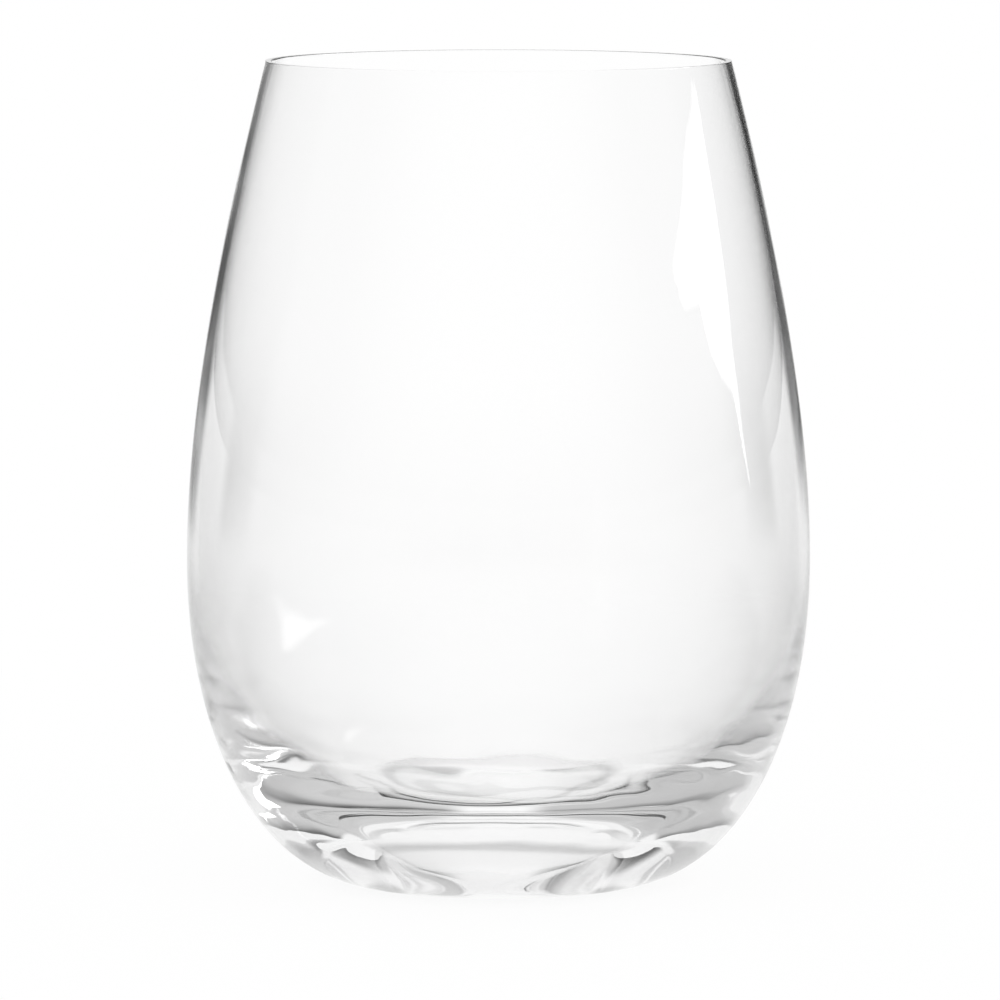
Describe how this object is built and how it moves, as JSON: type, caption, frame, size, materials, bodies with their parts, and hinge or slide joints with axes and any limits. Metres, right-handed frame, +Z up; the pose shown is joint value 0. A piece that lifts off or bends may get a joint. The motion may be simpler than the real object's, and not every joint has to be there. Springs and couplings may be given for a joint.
{
  "type": "stemless drinking tumbler",
  "caption": "Clear stemless tumbler with an egg-shaped thin-walled bowl, a narrow rim and a heavy rounded glass base to stand on.",
  "frame": {"origin": "middle of the foot ring, at the level that the glass stands on", "axes": "+Z up along the axis of the glass; X and Y lie in the table's plane and are alike, because the glass is turned about Z"},
  "size_m": [0.0914, 0.0914, 0.12],
  "materials": {
    "bowl_glass": "clear, fire-polished",
    "base_glass": "clear, fire-polished, slightly wavy"
  },
  "bodies": {
    "root": {"bowl": "bowl_glass", "base": "base_glass"}
  },
  "joints": []
}
